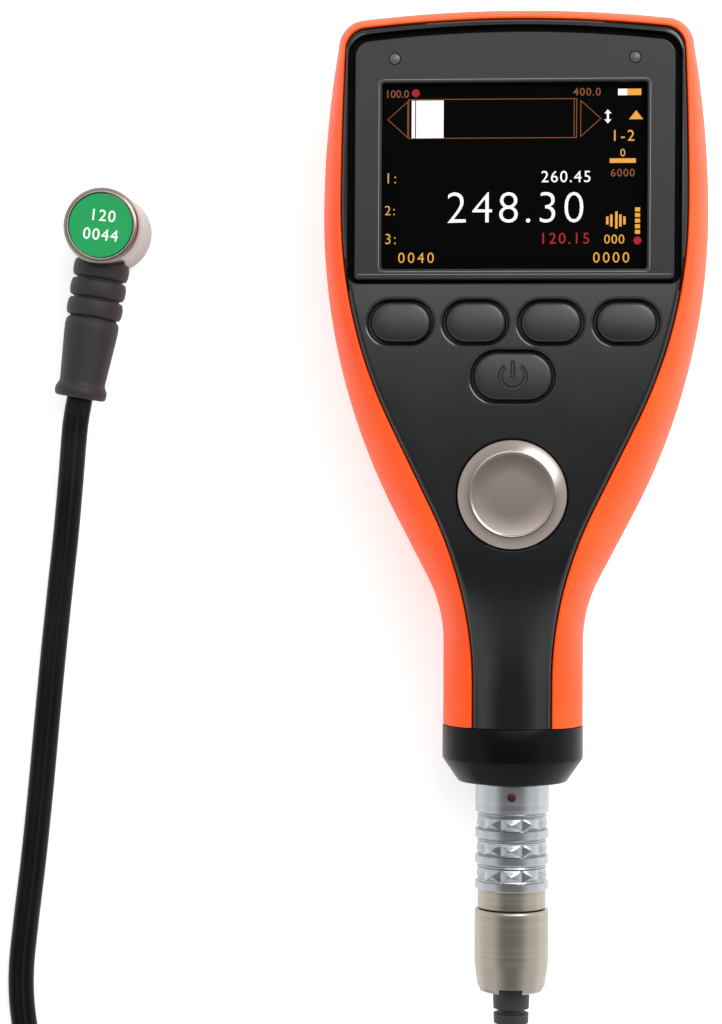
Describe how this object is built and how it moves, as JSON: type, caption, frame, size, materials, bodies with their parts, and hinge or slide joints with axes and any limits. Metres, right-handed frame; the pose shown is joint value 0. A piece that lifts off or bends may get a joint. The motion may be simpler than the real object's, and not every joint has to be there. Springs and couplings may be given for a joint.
{
  "type": "ultrasonic thickness gauge",
  "caption": "Handheld gauge: waisted case with rubber bumper, display and keys, push-pull plug, twin lead and a small right-angled probe standing beside it.",
  "frame": {"origin": "on the flat back that the gauge lies on, on its centre line, half way along the body", "axes": "+Z out of the face, +Y along the body towards the display end, +X across to the right"},
  "size_m": [0.1373, 0.2866, 0.0378],
  "materials": {
    "case_face": "fine satin moulded",
    "case_back": "fine satin moulded",
    "bumper_orange": "soft satin",
    "collar_black": "semi gloss",
    "seal_grey": "matt",
    "screw_steel": "zinc plated",
    "bezel_grey": "printed border, semi gloss",
    "window_clear": "clear, polished",
    "lcd_black": "gloss, lit figures",
    "holder_white": "moulded",
    "led_grey": "translucent",
    "key_rubber": "satin",
    "mat_rubber": "matt",
    "dome_steel": "bright",
    "board_green": "solder mask",
    "disc_steel": "fine brushed",
    "cell_wrap": "plain wrap over a can",
    "contact_spring": "nickel plated",
    "socket_chrome": "polished",
    "nut_brass": "turned",
    "shell_nickel": "nickel plated, satin",
    "pin_gold": "gold plated",
    "sleeve_chrome": "satin chrome",
    "dot_red": "enamel",
    "relief_black": "satin",
    "lead_black": "satin jacket",
    "probe_nickel": "nickel plated",
    "label_green": "printed",
    "backing_resin": "loaded resin",
    "element_ceramic": "electroded ceramic plate",
    "barrier_cork": "cork sheet",
    "delay_acrylic": "clear resin",
    "boot_rubber": "matt"
  },
  "bodies": {
    "case": {"front_case": "case_face", "rear_case": "case_back", "bumper": "bumper_orange", "collar": "collar_black", "case_seal": "seal_grey", "case_screws": "screw_steel", "display_bezel": "bezel_grey", "display_window": "window_clear", "lcd_panel": "lcd_black", "lcd_holder": "holder_white", "led_windows": "led_grey", "keypad_mat": "mat_rubber", "key_domes": "dome_steel", "main_pcb": "board_green", "zero_disc": "disc_steel", "battery_cells": "cell_wrap", "battery_contacts": "contact_spring", "connector_socket": "socket_chrome", "socket_nut": "nut_brass", "plug_shell": "shell_nickel", "plug_contacts": "pin_gold", "collet_nut": "shell_nickel", "bend_relief": "relief_black", "plug_lead": "lead_black", "lead_coil": "lead_black", "probe_lead": "lead_black", "probe_housing": "probe_nickel", "probe_label": "label_green", "probe_backing": "backing_resin", "probe_elements": "element_ceramic", "acoustic_barrier": "barrier_cork", "delay_lines": "delay_acrylic", "probe_boot": "boot_rubber"},
    "soft_key_1": {"soft_key_1": "key_rubber"},
    "soft_key_2": {"soft_key_2": "key_rubber"},
    "soft_key_3": {"soft_key_3": "key_rubber"},
    "soft_key_4": {"soft_key_4": "key_rubber"},
    "power_key": {"power_key": "key_rubber"},
    "battery_door": {"battery_door": "case_back", "door_seal": "seal_grey"},
    "release_sleeve": {"release_sleeve": "sleeve_chrome", "index_dot": "dot_red"}
  },
  "joints": [
    {"name": "soft_key_1_press", "type": "slide", "parent": "case", "child": "soft_key_1", "axis": [0, 0, -1], "range_m": [0, 0.0008], "stiffness_N_per_m": 900, "springref_m": -0.0004},
    {"name": "soft_key_2_press", "type": "slide", "parent": "case", "child": "soft_key_2", "axis": [0, 0, -1], "range_m": [0, 0.0008], "stiffness_N_per_m": 900, "springref_m": -0.0004},
    {"name": "soft_key_3_press", "type": "slide", "parent": "case", "child": "soft_key_3", "axis": [0, 0, -1], "range_m": [0, 0.0008], "stiffness_N_per_m": 900, "springref_m": -0.0004},
    {"name": "soft_key_4_press", "type": "slide", "parent": "case", "child": "soft_key_4", "axis": [0, 0, -1], "range_m": [0, 0.0008], "stiffness_N_per_m": 900, "springref_m": -0.0004},
    {"name": "power_key_press", "type": "slide", "parent": "case", "child": "power_key", "axis": [0, 0, -1], "range_m": [0, 0.0008], "stiffness_N_per_m": 900, "springref_m": -0.0004},
    {"name": "battery_door_hinge", "type": "hinge", "parent": "case", "child": "battery_door", "pos_m": [0, 0.063, 0.0022], "axis": [1, 0, 0], "range_deg": [0, 95]},
    {"name": "release_sleeve_slide", "type": "slide", "parent": "case", "child": "release_sleeve", "axis": [0, -1, 0], "range_m": [0, 0.0012], "stiffness_N_per_m": 1500, "springref_m": -0.0005}
  ]
}
